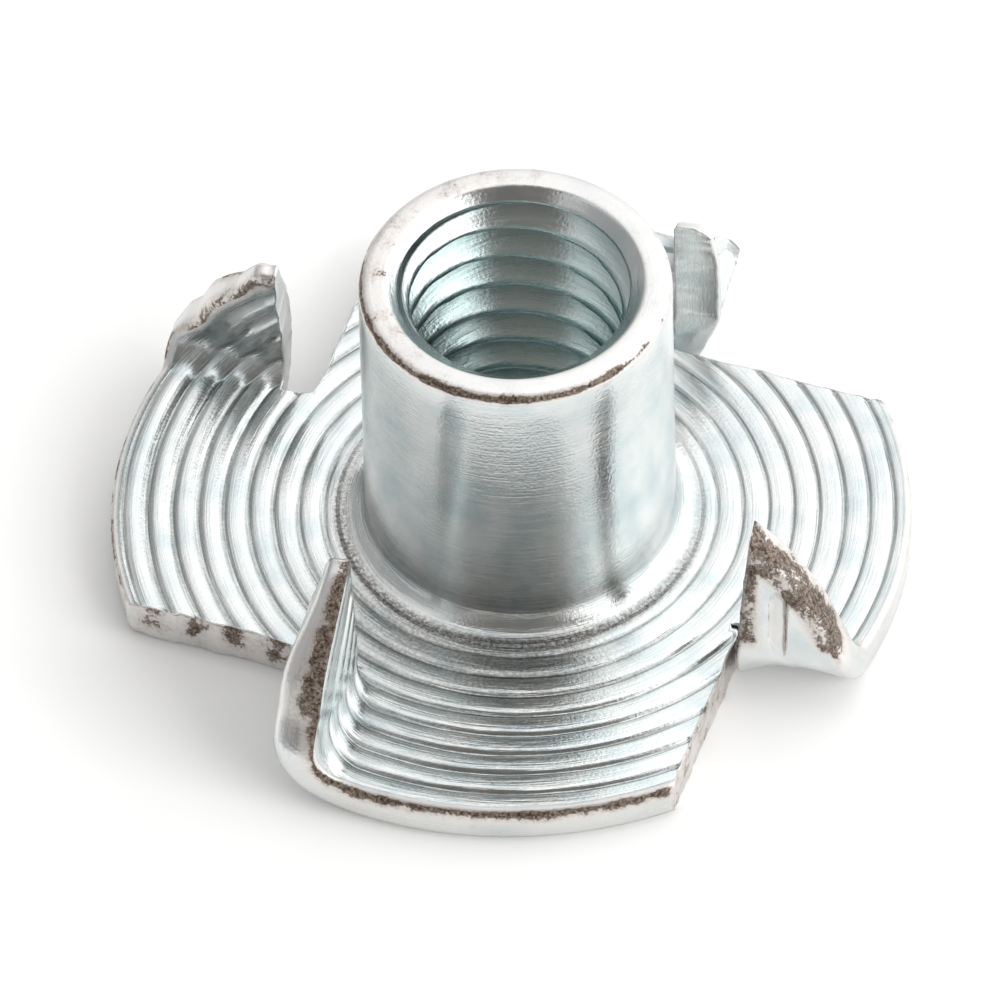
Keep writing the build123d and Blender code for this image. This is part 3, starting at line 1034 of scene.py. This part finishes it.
def make_tent(scene, looks, level, near):
    """A white tent round the nut, open to the unlit room on the camera's side."""
    world = bpy.data.worlds.new("white_tent")
    scene.world = world
    world.use_nodes = True
    tree = world.node_tree
    tree.nodes.clear()
    way = add_node(tree, "ShaderNodeTexCoord").outputs["Generated"]
    # The opening is a tall strip, from the floor nearly to the top
    facing = remap(tree, along(tree, way, near), 0.02, 0.3, eased=True)
    apart = maths(tree, "ABSOLUTE", along(tree, way, level))
    inner, outer = math.sin(looks.dark_angle * 0.75), math.sin(looks.dark_angle * 1.2)
    unlit = times(tree, facing, remap(tree, apart, outer, inner, eased=True))
    # The light comes from the right and from high up, so the tent is darker towards the left
    key = (level * 0.75 + Vector((0.0, 0.0, 0.65))).normalized()
    lit = remap(tree, along(tree, way, key), -0.25, 1.0)
    tent = blend(tree, lit, looks.shade_side, [looks.white_light] * 3)
    shade = blend(tree, unlit, tent, looks.dark_side)
    sky = add_node(tree, "ShaderNodeBackground", None, {"Color": shade})
    add_node(tree, "ShaderNodeOutputWorld", None, {"Surface": sky.outputs[0]})


def make_lamp(scene, looks, level, near):
    """A soft lamp at the front right, for the floor's shadow."""
    lamp = bpy.data.lights.new("soft_lamp", "AREA")
    lamp.energy = looks.lamp_power
    lamp.size = LAMP_SIZE
    light = bpy.data.objects.new("soft_lamp", lamp)
    # Metal shows the tent, not the lamp
    light.visible_glossy = False
    scene.collection.objects.link(light)
    ray = (level * 0.8 + near * 0.55 + Vector((0.0, 0.0, 0.4))).normalized()
    turned = ray.to_track_quat("Z", "Y").to_matrix().to_4x4()
    light.matrix_world = Matrix.Translation(ray * LAMP_DISTANCE) @ turned


def make_camera(scene, looks, right, up, back):
    """A camera far off with a long lens."""
    # The barrel's axis at the flange's upper face stands a little right of and below the picture's middle
    middle = Vector((0.0, 0.0, scene.nut_sizes.flange_thickness))
    aim = middle - right * AIM_LEFT + up * AIM_UP
    lens = bpy.data.cameras.new("camera")
    lens.lens = lens.sensor_width * FOCAL_WIDTHS
    lens.clip_start = 0.01
    lens.clip_end = 20.0
    camera = bpy.data.objects.new("camera", lens)
    scene.collection.objects.link(camera)
    spot = aim + back * looks.distance
    turned = Matrix((right, up, back)).transposed().to_4x4()
    camera.matrix_world = Matrix.Translation(spot) @ turned
    scene.camera = camera


class NUT_OT_stage(bpy.types.Operator):
    """Builds the floor that whitens away from the nut, the tent, the lamp and the camera"""

    bl_idname = "teenut.stage"
    bl_label = "Build the stage"

    def execute(self, context):
        scene = context.scene
        looks = scene.nut_stage
        right, up, back = camera_axes(looks)
        level = Vector((right.x, right.y, 0.0)).normalized()
        near = Vector((back.x, back.y, 0.0)).normalized()
        make_floor(scene, looks)
        make_tent(scene, looks, level, near)
        make_lamp(scene, looks, level, near)
        make_camera(scene, looks, right, up, back)
        scene.view_settings.view_transform = "Standard"
        return {"FINISHED"}


class NUT_PT_panel(bpy.types.Panel):
    """Sizes, finish and stage of the tee nut"""

    bl_idname = "NUT_PT_panel"
    bl_label = "Tee nut"
    bl_space_type = "VIEW_3D"
    bl_region_type = "UI"
    bl_category = "Tee nut"

    def draw(self, context):
        for group in ("nut_sizes", "nut_finish", "nut_stage"):
            settings = getattr(context.scene, group)
            column = self.layout.column()
            for name in settings.__annotations__:
                column.prop(settings, name)
        self.layout.operator(NUT_OT_body.bl_idname)
        self.layout.operator(NUT_OT_stage.bl_idname)


CLASSES = (NutSizes, NutFinish, StageLooks, NUT_OT_body, NUT_OT_stage, NUT_PT_panel)


def register():
    """Adds the classes and the scene's settings."""
    for cls in CLASSES:
        bpy.utils.register_class(cls)
    bpy.types.Scene.nut_sizes = bpy.props.PointerProperty(type=NutSizes)
    bpy.types.Scene.nut_finish = bpy.props.PointerProperty(type=NutFinish)
    bpy.types.Scene.nut_stage = bpy.props.PointerProperty(type=StageLooks)


def unregister():
    """Removes the scene's settings and the classes."""
    del bpy.types.Scene.nut_stage
    del bpy.types.Scene.nut_finish
    del bpy.types.Scene.nut_sizes
    for cls in reversed(CLASSES):
        bpy.utils.unregister_class(cls)


def main():
    """Builds the nut and its stage."""
    register()
    bpy.ops.teenut.body()
    bpy.ops.teenut.stage()


if __name__ == "__main__":
    main()
